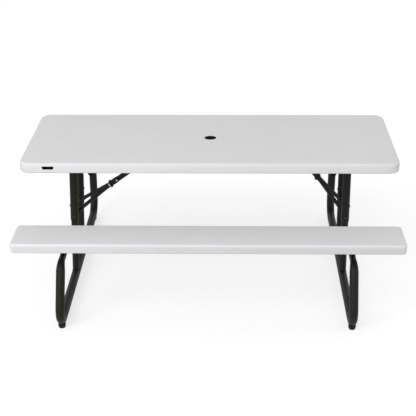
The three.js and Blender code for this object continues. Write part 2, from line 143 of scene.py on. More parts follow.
moulded_white, wire = new_material("moulded_white")
place = object_place(wire)
grain = noise(wire, place, 620.0, 3.0, 0.65)
flow = noise(wire, place, 5.0, 4.0, 0.55)
scuffs = limited(wire, noise(wire, place, 38.0, 6.0, 0.75), 0.60, 0.78)
tint = mixed(wire, flow, (0.655, 0.643, 0.655, 1), (0.705, 0.692, 0.706, 1))
surface(
    wire,
    Base_Color=mixed(wire, 0.10 * scuffs, tint, (0.52, 0.51, 0.50, 1)),
    Roughness=0.44 + 0.16 * grain + 0.08 * flow,
    Specular_IOR_Level=0.35,
    Normal=bumped(wire, 0.16, 0.0006, grain + 0.25 * scuffs),
)


crease_angle = 35.0


def smoothed(mesh, sharp=crease_angle):
    """A mesh shaded smooth, apart from edges that turn by more than an angle in degrees."""
    mesh.shade_smooth()
    mesh.set_sharp_from_angle(angle=radians(sharp))
    return mesh


def loft(name, rings, sharp=crease_angle):
    """A closed mesh through rings of points in order. The first and last rings are filled."""
    shape = bmesh.new()
    rows = [[shape.verts.new(point) for point in ring] for ring in rings]
    for lower, upper in zip(rows, rows[1:]):
        for i, point in enumerate(lower):
            j = (i + 1) % len(lower)
            shape.faces.new((point, lower[j], upper[j], upper[i]))
    for row in (rows[0], rows[-1]):
        if (row[0].co - row[len(row) // 2].co).length > 1e-6:
            shape.faces.new(row)
    bmesh.ops.remove_doubles(shape, verts=shape.verts, dist=1e-6)
    bmesh.ops.recalc_face_normals(shape, faces=shape.faces)
    mesh = bpy.data.meshes.new(name)
    shape.to_mesh(mesh)
    shape.free()
    return smoothed(mesh, sharp)


def arc(middle, radius, start, end, steps):
    """Points of an arc in a plane, from one angle in degrees to another."""
    turns = [radians(start + (end - start) * step / steps) for step in range(steps + 1)]
    return [(middle[0] + radius * cos(turn), middle[1] + radius * sin(turn)) for turn in turns]


def board_ring(length, width, corner, inset, height, middle):
    """A rounded rectangle of points, drawn in from the outline by inset."""
    corner_steps, least_radius = 10, 0.0005
    x, y = length / 2 - inset, width / 2 - inset
    radius = max(corner - inset, least_radius)
    ring = []
    for start, across, along in ((0, 1, 1), (90, -1, 1), (180, -1, -1), (270, 1, -1)):
        centre = (middle.x + across * (x - radius), middle.y + along * (y - radius))
        quarter = arc(centre, radius, start, start + 90, corner_steps)
        ring += [(*point, height) for point in quarter]
    return ring


def moulded_board(name, node, edge, corner, rim, panel, draft):
    """A board with the outline of a CAD node: over the top, round the edge and up inside the rim."""
    low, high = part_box(node)
    length, width, depth = high - low
    middle = (low + high) / 2
    lip, root, rim_draft = 0.6 * edge, 0.004, 0.002
    edge_steps, lip_steps = 9, 7
    underside = depth - panel
    profile = [(edge - point[0], depth - edge + point[1])
               for point in arc((0, 0), edge, 90, 0, edge_steps)]
    profile += [(draft / 2, depth / 2)]
    profile += [(draft + lip - point[0], lip + point[1])
                for point in arc((0, 0), lip, 0, -90, lip_steps)]
    for turn in (60, 30, 0):
        curl = lip / 2 * cos(radians(turn)), lip / 2 * sin(radians(turn))
        profile += [(rim - lip / 2 - curl[0], lip / 2 - curl[1])]
    profile = [(inset, height) for inset, height in profile if inset <= rim]
    profile += [
        (rim, lip / 2),
        (rim + rim_draft, underside - root),
        (rim + rim_draft + root, underside),
    ]
    rings = [board_ring(length, width, corner, inset, low.z + height, middle)
             for inset, height in profile]
    return loft(name, rings)


def new_tree(name, sizes):
    """A geometry tree with a source, named sizes and a material to set, and its inputs by name."""
    tree = bpy.data.node_groups.new(name, "GeometryNodeTree")
    tree.interface.new_socket("Source", in_out="INPUT", socket_type="NodeSocketGeometry")
    for size in sizes:
        tree.interface.new_socket(size, in_out="INPUT", socket_type="NodeSocketFloat")
    tree.interface.new_socket("Finish", in_out="INPUT", socket_type="NodeSocketMaterial")
    tree.interface.new_socket("Result", in_out="OUTPUT", socket_type="NodeSocketGeometry")
    entry = tree.nodes.new("NodeGroupInput")
    return tree, Wire(tree), {socket.name: Wire(tree, socket) for socket in entry.outputs}


def end_tree(wire, shape, finish):
    """The last nodes of every geometry tree."""
    solid = wire.node("GeometryNodeRealizeInstances", sockets={0: shape})
    coated = wire.node("GeometryNodeSetMaterial", sockets={"Geometry": solid, "Material": finish})
    wire.node("NodeGroupOutput", sockets={0: coated})


def placed(name, data):
    """A new object in the scene."""
    made = bpy.data.objects.new(name, data)
    bpy.context.scene.collection.objects.link(made)
    return made


def grown(name, tree, source, sizes, finish, sharp=crease_angle):
    """The plain mesh that a geometry tree makes from a source mesh."""
    holder = placed(name, source)
    modifier = holder.modifiers.new(name, "NODES")
    modifier.node_group = tree
    values = {**sizes, "Finish": finish}
    for item in tree.interface.items_tree:
        if item.name in values:
            modifier[item.identifier] = values[item.name]
    graph = bpy.context.evaluated_depsgraph_get()
    mesh = bpy.data.meshes.new_from_object(holder.evaluated_get(graph), depsgraph=graph)
    holder.modifiers.remove(modifier)
    bpy.data.objects.remove(holder)
    mesh.name = name
    return smoothed(mesh, sharp)


def joined(wire, *shapes):
    """Several geometries as one."""
    made = wire.tree.nodes.new("GeometryNodeJoinGeometry")
    for shape in shapes:
        wire.tree.links.new(shape.socket, made.inputs[0])
    return Wire(wire.tree, made.outputs[0])


cones, wire, size = new_tree(
    "pressed_cones",
    ["Length", "Width", "Pitch", "Mouth", "Floor", "Depth", "Height", "Across"],
)
columns = size["Length"] / size["Pitch"]
rows = size["Width"] / size["Pitch"]
grids = []
for fewer in (0, 1):
    grid = wire.node(
        "GeometryNodeMeshGrid",
        sockets={
            "Size X": size["Length"] - fewer * size["Pitch"],
            "Size Y": size["Width"] - fewer * size["Pitch"],
            "Vertices X": columns + (1 - fewer),
            "Vertices Y": rows + (1 - fewer),
        },
    )
    grids.append(grid)
cone = wire.node(
    "GeometryNodeMeshCone",
    sockets={
        "Vertices": 20,
        "Radius Top": size["Floor"],
        "Radius Bottom": size["Mouth"],
        "Depth": size["Depth"],
    },
)
cutters = wire.node(
    "GeometryNodeInstanceOnPoints", sockets={"Points": joined(wire, *grids), "Instance": cone}
)
spot = wire.node("ShaderNodeCombineXYZ", sockets={"Y": size["Across"], "Z": size["Height"]})
lifted = wire.node("GeometryNodeTransform", sockets={"Geometry": cutters, "Translation": spot})
loose = wire.node("GeometryNodeRealizeInstances", sockets={0: lifted})
pressed = wire.node(
    "GeometryNodeMeshBoolean",
    {"operation": "DIFFERENCE", "solver": "EXACT"},
    {0: size["Source"], 1: loose},
)
end_tree(wire, pressed, size["Finish"])


def pressed_board(name, board, node, pitch, columns, rows, panel):
    """A board with staggered cones pressed up into its underside."""
    low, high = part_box(node)
    mouth, overcut = 0.3 * pitch, 0.0005
    sizes = {
        "Length": columns * pitch,
        "Width": rows * pitch,
        "Pitch": pitch,
        "Mouth": mouth,
        "Floor": 0.45 * mouth,
        "Depth": 0.75 * panel,
        "Height": high.z - panel - overcut,
        "Across": (low.y + high.y) / 2,
    }
    return grown(name, cones, board, sizes, moulded_white)


def add_piece(name, mesh, body, nodes=()):
    """One finished mesh as a piece that moves with a body and stands for CAD nodes."""
    made = placed(name, mesh)
    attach(made, body)
    if nodes:
        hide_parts(*nodes)


def turned(name, profile, start, direction, sides=48, sharp=crease_angle):
    """A turned shape. Its profile is (radius, height) pairs from one end of the axis to the other."""
    turn = Vector((0, 0, 1)).rotation_difference(Vector(direction))
    rings = []
    for radius, height in profile:
        ring = [(radius * cos(2 * pi * k / sides), radius * sin(2 * pi * k / sides), height)
                for k in range(sides)]
        rings.append([Vector(start) + turn @ Vector(point) for point in ring])
    return loft(name, rings, sharp)


def bored(mesh, cutter):
    """A mesh less a cutting shape."""
    holder, tool = placed(mesh.name, mesh), placed(cutter.name, cutter)
    cut = holder.modifiers.new("bore", "BOOLEAN")
    cut.object = tool
    cut.operation = "DIFFERENCE"
    graph = bpy.context.evaluated_depsgraph_get()
    left = bpy.data.meshes.new_from_object(holder.evaluated_get(graph), depsgraph=graph)
    for part in (holder, tool):
        bpy.data.objects.remove(part)
    return smoothed(left)


table_panel, plug_lip, plug_flange = 0.028, 0.0035, 0.0033
plug_low, plug_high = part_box("umbrella_plug")
table_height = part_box("table_top")[1].z
plug_rim = (plug_high.x - plug_low.x) / 2
hole_radius = plug_rim - plug_lip
seat = plug_high.z - plug_flange
recess, recess_mouth = plug_rim + 0.0006, plug_rim + 0.0018
bore_foot, bore_head = table_height - 0.1, table_height + 0.01
hole_profile = [
    (0, bore_foot),
    (hole_radius, bore_foot),
    (hole_radius, seat),
    (recess, seat),
    (recess, table_height - 0.0008),
    (recess_mouth, table_height + 0.0002),
    (recess_mouth, bore_head),
    (0, bore_head),
]
board = moulded_board(
    "table_board", "table_top", edge=0.012, corner=0.055, rim=0.026, panel=table_panel, draft=0.0012
)
board = bored(board, turned("umbrella_bore", hole_profile, (0, 0, 0), (0, 0, 1), sides=64))
board = pressed_board(
    "table_board", board, "table_top", pitch=0.074, columns=22, rows=8, panel=table_panel
)
add_piece("table_board", board, "table", ["table_top"])


# Umbrella plug: a black moulded cap that lies flush in the top, with a dished face and a raised
# grip across it for lifting it out. Its skirt goes down into the umbrella hole.
def painted(mesh, finish):
    """A mesh with one material all over."""
    mesh.materials.clear()
    mesh.materials.append(finish)
    return mesh


black_plastic, wire = new_material("black_plastic")
place = object_place(wire)
grain = noise(wire, place, 900.0, 2.0, 0.6)
dust = limited(wire, noise(wire, place, 60.0, 5.0, 0.6), 0.45, 0.8)
surface(
    wire,
    Base_Color=mixed(wire, 0.12 * dust, (0.003, 0.003, 0.003, 1), (0.03, 0.029, 0.027, 1)),
    Roughness=0.55 + 0.2 * grain,
    Specular_IOR_Level=0.03,
    Normal=bumped(wire, 0.2, 0.0004, grain),
)
skirt, skirt_wall = hole_radius - 0.0009, 0.0025
dish, flange_foot = plug_high.z - 0.0022, seat + 0.0003
plug_profile = [
    (0, dish),
    (0.6 * plug_rim, dish),
    (0.72 * plug_rim, plug_high.z - 0.0008),
    (0.78 * plug_rim, plug_high.z - 0.0001),
    (0.95 * plug_rim, plug_high.z),
    (plug_rim - 0.0002, plug_high.z - 0.0008),
    (plug_rim, plug_high.z - 0.0028),
    (plug_rim - 0.0008, flange_foot),
    (skirt, flange_foot),
    (skirt - 0.0006, plug_low.z + 0.001),
    (skirt - 0.0016, plug_low.z),
    (skirt - skirt_wall, plug_low.z + 0.001),
    (skirt - skirt_wall, seat),
    (0, seat),
]
plug = turned("umbrella_cap", plug_profile, (0, 0, 0), (0, 0, 1))
add_piece("umbrella_cap", painted(plug, black_plastic), "plug", ["umbrella_plug"])

grip_length, grip_width, nearly_half = 1.1 * plug_rim, 0.22 * plug_rim, 1 / 2.01
grip_profile = [(0.0, -0.0024), (0.0, -0.0008), (0.0006, -0.0003), (0.0016, -0.0003)]
grip_rings = [
    board_ring(grip_length, grip_width, nearly_half * grip_width, inset, plug_high.z + height, Vector())
    for inset, height in grip_profile
]
grip = loft("umbrella_cap_grip", grip_rings)
add_piece("umbrella_cap_grip", painted(grip, black_plastic), "plug")


# Edge plate: a small blank plate of black plastic with a rolled border, pressed on the near edge of
# the table top by its left corner.
plate_middle = Vector((-0.772, 0, 0.714))
plate_length, plate_height, plate_flare, plate_seat = 0.057, 0.0155, 0.16, 0.0012
near_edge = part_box("table_top")[0].y
plate_profile = [(0, 0), (0, 0.0010), (0.0006, 0.0016), (0.0018, 0.0016), (0.0024, 0.0010)]
plate_rings = []
for inset, height in plate_profile:
    flat = board_ring(plate_length, plate_height, nearly_half * plate_height, inset, height, Vector())
    ring = []
    for x, y, z in flat:
        flare = 1 + plate_flare * y / plate_height
        ring.append((plate_middle.x + x * flare, near_edge + plate_seat - z, plate_middle.z + y))
    plate_rings.append(ring)
plate = painted(loft("edge_plate", plate_rings), black_plastic)
add_piece("edge_plate", plate, "table")


# Benches: two narrow boards moulded like the table top, as long as it is and one along each side.
# Their edges draw in a little towards the floor, and a single band of cones runs along underneath.
bench_panel = 0.024
for side in ("near", "far"):
    name, node = f"{side}_bench_board", f"{side}_bench"
    board = moulded_board(
        name, node, edge=0.010, corner=0.020, rim=0.017, panel=bench_panel, draft=0.0034
    )
    board = pressed_board(name, board, node, pitch=0.064, columns=26, rows=2, panel=bench_panel)
    add_piece(name, board, f"{side}_seat", [node])


# Sled tubes: one bent steel tube at each end stands on the ground, rises at both sides and is necked
# down where it turns in under the benches. All the tubes are powder coated dark bronze.
powder_coat, wire = new_material("bronze_powder_coat")
place = object_place(wire)
peel = noise(wire, place, 420.0, 2.0, 0.5)
speck = limited(wire, noise(wire, place, 1500.0, 1.0, 0.5), 0.62, 0.74)
dust = limited(wire, noise(wire, place, 9.0, 6.0, 0.62), 0.42, 0.80)
coat = mixed(wire, speck, (0.0070, 0.0068, 0.0058, 1), (0.024, 0.023, 0.019, 1))
surface(
    wire,
    Base_Color=mixed(wire, 0.12 * dust, coat, (0.036, 0.035, 0.031, 1)),
    Roughness=0.46 + 0.12 * peel + 0.10 * dust,
    Metallic=0.25 * speck,
    Specular_IOR_Level=0.17,
    Normal=bumped(wire, 0.22, 0.0005, peel),
)

tubes, wire, size = new_tree("bent_tube", ["Radius", "Neck", "Shoulder", "Neck height"])
bend = wire.node("GeometryNodeInputNamedAttribute", {"data_type": "FLOAT"}, {"Name": "bend"})
line = wire.node("GeometryNodeMeshToCurve", sockets={"Mesh": size["Source"]})
bent = wire.node(
    "GeometryNodeFilletCurve",
    {"mode": "POLY"},
    {"Curve": line, "Count": 14, "Radius": bend, "Limit Radius": True},
)
point = wire.node("GeometryNodeInputPosition")
height = wire.node("ShaderNodeSeparateXYZ", sockets={0: point}, output="Z")
drop = wire.node(
    "ShaderNodeMath",
    {"operation": "DIVIDE", "use_clamp": True},
    {0: size["Neck height"] - height, 1: size["Neck height"] - size["Shoulder"]},
)
girth = size["Neck"] + (size["Radius"] - size["Neck"]) * wire.math("POWER", drop, 0.5)
hoop = wire.node("GeometryNodeCurvePrimitiveCircle", sockets={"Resolution": 40, "Radius": 1.0})
tube = wire.node(
    "GeometryNodeCurveToMesh",
    sockets={"Curve": bent, "Profile Curve": hoop, "Scale": girth, "Fill Caps": True},
)
end_tree(wire, tube, size["Finish"])


def path_mesh(name, points, bends):
    """Points joined in a line, each with the radius of its bend."""
    mesh = bpy.data.meshes.new(name)
    mesh.from_pydata(points, [(i, i + 1) for i in range(len(points) - 1)], [])
    mesh.attributes.new("bend", "FLOAT", "POINT").data.foreach_set("value", bends)
    return mesh


tube_round, neck_round, cap_reach = 0.0215, 0.0155, 0.0099
foot_bend, shoulder_bend, upright_lean = 0.080, 0.048, radians(15.2)
foot_setback = foot_bend * tan((pi / 2 + upright_lean) / 2)
foot_middle = {}
for end in ("right", "left"):
    low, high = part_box(f"{end}_sled_tube")
    cap_low, cap_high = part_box(f"{end}_near_journal_cap")
    glide_low, glide_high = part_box(f"{end}_near_foot_glide")
    journal_x, journal = (cap_low.x + cap_high.x) / 2, (cap_low.z + cap_high.z) / 2
    base_x, base = (glide_low.x + glide_high.x) / 2, low.z + tube_round
    foot_middle[end] = Vector((base_x, 0, base))
    corner = high.y - tube_round - foot_bend + foot_setback
    upright = corner - (journal - base) * tan(upright_lean)
    inner = cap_reach - cap_high.y
    half = [(journal_x, inner, journal), (journal_x, upright, journal), (base_x, corner, base)]
    path = [(x, -y, z) for x, y, z in half] + half[::-1]
    bends = [0, shoulder_bend, foot_bend, foot_bend, shoulder_bend, 0]
    sizes = {
        "Radius": tube_round,
        "Neck": neck_round,
        "Shoulder": journal - shoulder_bend * (1 - sin(upright_lean)),
        "Neck height": journal,
    }
    sled = grown(f"{end}_sled", tubes, path_mesh("sled_path", path, bends), sizes, powder_coat)
    add_piece(f"{end}_sled", sled, f"{end}_frame", [f"{end}_sled_tube"])


# Legs: a wide upper tube hangs on the hinge under the table, and a narrower tube welded to the sled
# slides up inside it. Both are the same coated steel as the sled.
joints = {joint["name"]: joint for joint in frame["joints"]}
leg_round, leg_wall, leg_edge, slide_gap = 0.0205, 0.002, 0.0007, 0.0007
lower_round = leg_round - leg_wall - slide_gap
bore_depth, seam_step, weld_crease = 0.02, 6, 60.0
welds, wire, size = new_tree("weld_beads", ["Pitch", "Bead"])
seam = wire.node("GeometryNodeMeshToCurve", sockets={"Mesh": size["Source"]})
steps = wire.node(
    "GeometryNodeResampleCurve", {"mode": "LENGTH"}, {"Curve": seam, "Length": size["Pitch"]}
)
bead = wire.node("GeometryNodeMeshIcoSphere", sockets={"Radius": size["Bead"], "Subdivisions": 2})
beads = wire.node("GeometryNodeInstanceOnPoints", sockets={"Points": steps, "Instance": bead})
end_tree(wire, beads, size["Finish"])
for end, joint in (("right", "fold"), ("left", "left_fold")):
    hinge = Vector(joints[joint]["pos_m"])
    rise = (hinge - foot_middle[end]) / (hinge.z - foot_middle[end].z)
    for side in ("near", "far"):
        for leg, radius in (("upper_leg", leg_round), ("lower_leg", lower_round)):
            node = f"{end}_{side}_{leg}"
            low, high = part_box(node)
            start = hinge + rise * (low.z - hinge.z) + Vector((0, (low.y + high.y) / 2, 0))
            length = rise.length * (high.z - low.z)
            profile = [
                (radius - leg_wall, length - bore_depth),
                (radius - leg_wall, length),
                (radius - leg_edge, length),
                (radius, length - leg_edge),
                (radius, leg_edge),
                (radius - leg_edge, 0),
                (radius - leg_wall, 0),
                (radius - leg_wall, bore_depth),
            ]
            mesh = painted(turned(f"{node}_tube", profile, start, rise.normalized()), powder_coat)
            add_piece(f"{node}_tube", mesh, f"{end}_frame", [node])
        seam = []
        for turn in range(0, 360, seam_step):
            x, y = lower_round * cos(radians(turn)), lower_round * sin(radians(turn))
            height = foot_middle[end].z + sqrt(tube_round ** 2 - x ** 2)
            seam.append(start + Vector((x, y, height - start.z)))
        ring = bpy.data.meshes.new("weld_seam")
        ring.from_pydata(seam, [(k, (k + 1) % len(seam)) for k in range(len(seam))], [])
        name = f"{end}_{side}_foot_weld"
        sizes = {"Pitch": 0.0024, "Bead": 0.0027}
        mesh = grown(name, welds, ring, sizes, powder_coat, weld_crease)
        add_piece(name, mesh, f"{end}_frame")


# Foot glides: black rubber feet pressed under the bends of the sled tubes. They narrow towards the
# ground, two grooves run round them, and they are dusty where they stand.
black_rubber, wire = new_material("black_rubber")
place = object_place(wire)
grain = noise(wire, place, 500.0, 3.0, 0.6)
height = wire.node("ShaderNodeSeparateXYZ", sockets={0: place}, output="Z")
near_ground = 1 - limited(wire, height, 0.0, 0.022)
ground_dust = near_ground * limited(wire, noise(wire, place, 90.0, 5.0, 0.7), 0.35, 0.7)
surface(
    wire,
    Base_Color=mixed(wire, 0.5 * ground_dust, (0.006, 0.006, 0.006, 1), (0.07, 0.066, 0.06, 1)),
    Roughness=0.62 + 0.2 * grain,
    Specular_IOR_Level=0.2,
    Normal=bumped(wire, 0.3, 0.0005, grain),
)
glide_taper, taper_height, tip_round = 0.0025, 0.010, 0.0025
grooves, groove_depth, groove_half, glide_crease = (0.0115, 0.0155), 0.0010, 0.0012, 50.0
for end in ("right", "left"):
    for side in ("near", "far"):
        name = f"{end}_{side}_foot_glide"
        low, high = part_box(name)
        middle = ((low.x + high.x) / 2, (low.y + high.y) / 2, 0)
        radius = (high.x - low.x) / 2
        tip = radius - glide_taper
        profile = [
            (0, 0),
            (tip - tip_round, 0),
            (tip - 0.0007, 0.0007),
            (tip, tip_round),
            (radius, taper_height),
        ]
        for groove in grooves:
            profile += [
                (radius, groove),
                (radius - groove_depth, groove + groove_half),
                (radius, groove + 2 * groove_half),
            ]
        profile += [(radius, high.z), (0, high.z)]
        mesh = turned(f"{name}_rubber", profile, middle, (0, 0, 1), sharp=glide_crease)
        add_piece(f"{name}_rubber", painted(mesh, black_rubber), f"{end}_frame", [name])


# Journal caps: black plastic plugs knocked into the ends of the sled tubes. A collar closes the tube,
# and a pin with a domed head carries the bench bracket.
cap_spigot, cap_depth, cap_collar, cap_pin = 0.0136, 0.016, 0.0023, 0.009
cap_head, cap_head_height = 0.013, 0.003
for end in ("right", "left"):
    for side, inward in (("near", 1), ("far", -1)):
        name = f"{end}_{side}_journal_cap"
        low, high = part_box(name)
        middle = (low + high) / 2
        tube_end = (high.y if inward > 0 else low.y) - inward * cap_reach
        profile = [
            (0, -cap_depth),
            (cap_spigot - 0.001, -cap_depth),
            (cap_spigot, 0.001 - cap_depth),
            (cap_spigot, 0.0003),
            (neck_round - 0.0002, 0.0003),
            (neck_round, 0.0006),
            (neck_round - 0.0005, cap_collar),
            (cap_pin, cap_collar),
            (cap_pin, cap_reach - cap_head_height),
            (cap_head, cap_reach - cap_head_height),
            (cap_head, cap_reach - 0.0014),
            (0.94 * cap_head, cap_reach - 0.0006),
            (0.6 * cap_head, cap_reach),
            (0, cap_reach),
        ]
        mesh = turned(f"{name}_plug", profile, (middle.x, tube_end, middle.z), (0, inward, 0))
        add_piece(f"{name}_plug", painted(mesh, black_plastic), f"{end}_frame", [name])


# Brackets: pressed steel plates with their edges broken, coated like the tubes. Hinge brackets hold
# the legs and brace brackets the links under the table, and bench brackets sit on the sled journals.
def pressed_steel(node, bevel):
    """A copy of a sheet steel CAD node with its sharp edges rounded."""
    flat_turn, edge_turn, crease = radians(1), radians(40), 32.0
    shape = bmesh.new()
    shape.from_mesh(frame["nodes"][node].data)
    bmesh.ops.remove_doubles(shape, verts=shape.verts, dist=1e-6)
    bmesh.ops.dissolve_limit(shape, angle_limit=flat_turn, verts=shape.verts, edges=shape.edges)
    sharp = [edge for edge in shape.edges
             if len(edge.link_faces) == 2 and edge.calc_face_angle() > edge_turn]
    bmesh.ops.bevel(
        shape, geom=sharp, offset=bevel, segments=2, profile=0.5, affect="EDGES", clamp_overlap=True
    )
    mesh = bpy.data.meshes.new(f"{node}_steel")
    shape.to_mesh(mesh)
    shape.free()
    return smoothed(mesh, crease)


corners = [(end, side) for end in ("right", "left") for side in ("near", "far")]
brackets = {f"{end}_{side}_hinge_bracket": "table" for end, side in corners}
brackets |= {f"{end}_brace_bracket": "table" for end in ("right", "left")}
brackets |= {f"{side}_bench_{end}_bracket": f"{side}_seat" for end, side in corners}
sheet_bevel = 0.0007
for node, body in brackets.items():
    mesh = painted(pressed_steel(node, sheet_bevel), powder_coat)
    add_piece(f"{node}_steel", mesh, body, [node])


# Braces: at each end two tube arms with flattened eyes make a fork from the legs to the knee, and a
# flat link goes on from there to the table. A lock ring slides along the arms to hold the knee.
arm_round, eye_round, eye_flat = 0.00975, 0.013, 0.0025
bend_from_knee, bend_half, station_step = 0.065, 0.016, 0.004
foot_neck, knee_neck, foot_turn = (0.010, 0.040), (0.012, 0.050), (0.004, 0.030)
rivet_shank, rivet_head, rivet_dome = 0.004, 0.006, 0.0045
# Rivet heads show uncoated metal within a radius of their tips: a painted highlight as well as worn metal.
dome_drop, rivet_highlight = 0.0047, 0.0045
# Only the left lock ring gets a strip of uncoated metal along its foot edge, a painted highlight as well
# as worn metal; the right ring gets none.
strap_bevel, worn_highlight_widths = 0.0012, {"right": 0, "left": 0.0016}


def oval(half_y, half_z, square, sides=28):
    """A ring of points in the YZ plane, from an ellipse at 2 to nearly a rectangle at 8."""
    ring = []
    for k in range(sides):
        c, s = cos(2 * pi * k / sides), sin(2 * pi * k / sides)
        ring.append((half_y * abs(c) ** (2 / square) * (1 if c > 0 else -1),
                     half_z * abs(s) ** (2 / square) * (1 if s > 0 else -1)))
    return ring


def eased(value, start, end):
    """0 before the start, 1 past the end, and a smooth rise between them."""
    share = min(max((value - start) / (end - start), 0), 1)
    return share * share * (3 - 2 * share)


def arm_rings(length, foot_face, inner_face, out):
    """Sections of a fork arm along X, which slants in from its foot eye and is bent to lie by the knee."""
    bend = length - bend_from_knee
    slope = (inner_face + 2 * arm_round - foot_face) / bend
    ends = [-eye_round * cos(radians(turn)) for turn in range(4, 91, 8)]
    count = round(length / station_step)
    stations = ends + [length * k / count for k in range(1, count)]
    stations += [length - x for x in reversed(ends)]
    rings = []
    for x in stations:
        inside = min(x, length - x)
        blend = min(eased(x, *foot_neck), eased(length - x, *knee_neck))
        eye = sqrt(max(eye_round ** 2 - min(inside, 0) ** 2, 1e-8))
        half_z = eye + (arm_round - eye) * blend
        half_y = eye_flat + (arm_round - eye_flat) * blend
        before = min(max(bend + bend_half - x, 0), 2 * bend_half)
        slant = slope * (min(x + bend_half - bend, 0) - before * before / (4 * bend_half))
        tilt = slope * before / (2 * bend_half) * eased(x, *foot_turn)
        straight = inner_face + half_y + slant
        at_foot = foot_face - half_y
        y = at_foot + (straight - at_foot) * eased(x, *foot_turn)
        ring = oval(half_y * hypot(1, tilt), half_z, 6 - 4 * blend)
        rings.append([(x, out * (y + dy), dz) for dy, dz in ring])
    return rings


# Worn powder coat: marked points show uncoated steel. This is worn metal, and it is also a painted
# highlight, put where glints fall on the left lock ring and on the rivet tips.
worn_highlight_coat, wire = new_material("powder_coat_worn_highlight")
place = object_place(wire)
peel = noise(wire, place, 420.0, 2.0, 0.5)
chips = noise(wire, place, 170.0, 4.0, 0.65)
wear_and_highlight = wire.node("ShaderNodeAttribute", {"attribute_name": "worn_highlight"}, output="Fac")
bare_highlight = limited(wire, wear_and_highlight + 0.5 * chips, 0.62, 0.86)
surface(
    wire,
    Base_Color=mixed(wire, bare_highlight, (0.0075, 0.0072, 0.0062, 1), (0.62, 0.61, 0.59, 1)),
    Metallic=bare_highlight,
    Roughness=0.42 + 0.12 * peel - 0.12 * bare_highlight,
    Specular_IOR_Level=0.20,
    Normal=bumped(wire, 0.22, 0.0005, peel - bare_highlight),
)


def worn_highlight(mesh, highlight_at):
    """A coated mesh, with the points marked where it shows uncoated metal: worn metal that is also a
    painted highlight.
    """
    values = [1.0 if highlight_at(vertex.co) else 0.0 for vertex in mesh.vertices]
    mesh.attributes.new("worn_highlight", "FLOAT", "POINT").data.foreach_set("value", values)
    return painted(mesh, worn_highlight_coat)


for end in ("right", "left"):
    foot = Vector(joints[f"{end}_fork_swing"]["pos_m"])
    top = Vector(joints[f"{end}_link_swing"]["pos_m"])
    along = (top - foot).normalized()
    across = Vector((0, 1, 0))
    stand = Matrix((along, across, along.cross(across))).transposed().to_4x4()
    stand.translation = foot
    rivet_low, rivet_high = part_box(f"{end}_near_knee_rivet")
    knee = ((rivet_low + rivet_high) / 2 - foot).dot(along)
    for side, out in (("near", -1), ("far", 1)):
        node = f"{end}_{side}_fork_arm"
        low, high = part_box(node)
        foot_face, inner_face = max(abs(low.y), abs(high.y)), min(abs(low.y), abs(high.y))
        mesh = loft(f"{node}_tube", arm_rings(knee, foot_face, inner_face, out))
        mesh.transform(stand)
        add_piece(f"{node}_tube", painted(mesh, powder_coat), f"{end}_fork", [node])

        node = f"{end}_{side}_knee_rivet"
        low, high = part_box(node)
        start, reach = (low.y if out > 0 else high.y), high.y - low.y
        dome_foot = reach - dome_drop
        profile = [(0, 0), (rivet_shank, 0), (rivet_shank, dome_foot), (rivet_head, dome_foot)]
        profile += [(rivet_head * cos(radians(turn)), dome_foot + rivet_dome * sin(radians(turn)))
                    for turn in (12, 28, 46, 66, 82)]
        profile += [(0, reach)]
        middle = (low + high) / 2
        mesh = turned(f"{node}_dome", profile, (middle.x, start, middle.z), (0, out, 0), sides=32)
        # Each rivet tip shows uncoated metal: a painted highlight and worn metal.
        tip = Vector((middle.x, start + out * reach, middle.z))
        mesh = worn_highlight(mesh, lambda point: (point - tip).length < rivet_highlight)
        add_piece(f"{node}_dome", mesh, f"{end}_fork", [node])

    mesh = painted(pressed_steel(f"{end}_brace_link", strap_bevel), powder_coat)
    add_piece(f"{end}_brace_link_strap", mesh, f"{end}_link", [f"{end}_brace_link"])
    # The lock ring's foot edge shows uncoated metal on the left ring only: a painted highlight and worn
    # metal.
    mesh = pressed_steel(f"{end}_lock_ring", strap_bevel)
    highlight_edge = min((vertex.co - foot).dot(along) for vertex in mesh.vertices) + worn_highlight_widths[end]
    mesh = worn_highlight(mesh, lambda point: (point - foot).dot(along) < highlight_edge)
    add_piece(f"{end}_lock_ring_band", mesh, f"{end}_ring", [f"{end}_lock_ring"])


# Bolts and pins: plated in dull black zinc. Low button bolts hold the leg tubes together. Hexagon
# bolts carry the fork arms on the legs, and are the pins of the hinges and of the brace links.
black_zinc, wire = new_material("black_zinc")
place = object_place(wire)
bloom = noise(wire, place, 150.0, 4.0, 0.6)
surface(
    wire,
    Base_Color=mixed(wire, bloom, (0.020, 0.020, 0.021, 1), (0.055, 0.054, 0.052, 1)),
    Metallic=0.85,
    Roughness=0.40 + 0.18 * bloom,
    Normal=bumped(wire, 0.12, 0.0003, bloom),
)


def bolt_end(wire, sides, radius, height, downwards):
    """A head or nut with a chamfered end, standing on zero height and reaching up or down."""
    flip, straight = -1 if downwards else 1, 0.8
    block = wire.node(
        "GeometryNodeMeshCylinder",
        sockets={"Vertices": sides, "Radius": radius, "Depth": height * straight},
    )
    middle = wire.node("ShaderNodeCombineXYZ", sockets={"Z": height * (straight / 2 * flip)})
    block = wire.node("GeometryNodeTransform", sockets={"Geometry": block, "Translation": middle})
    crown = wire.node(
        "GeometryNodeMeshCone",
        sockets={
            "Vertices": 24,
            "Radius Top": radius * 0.66,
            "Radius Bottom": radius * 0.84,
            "Depth": height * (1 - straight),
        },
    )
    top = wire.node("ShaderNodeCombineXYZ", sockets={"Z": height * (straight * flip)})
    spin = (pi, 0, 0) if downwards else (0, 0, 0)
    crown = wire.node(
        "GeometryNodeTransform",
        sockets={"Geometry": crown, "Translation": top, "Rotation": spin},
    )
    return joined(wire, block, crown)


def on_points(wire, points, shape, turn, **sockets):
    """A shape on every point, turned the way that point goes."""
    named = {"Points": points, "Instance": shape, "Rotation": turn, **sockets}
    return wire.node("GeometryNodeInstanceOnPoints", sockets=named)


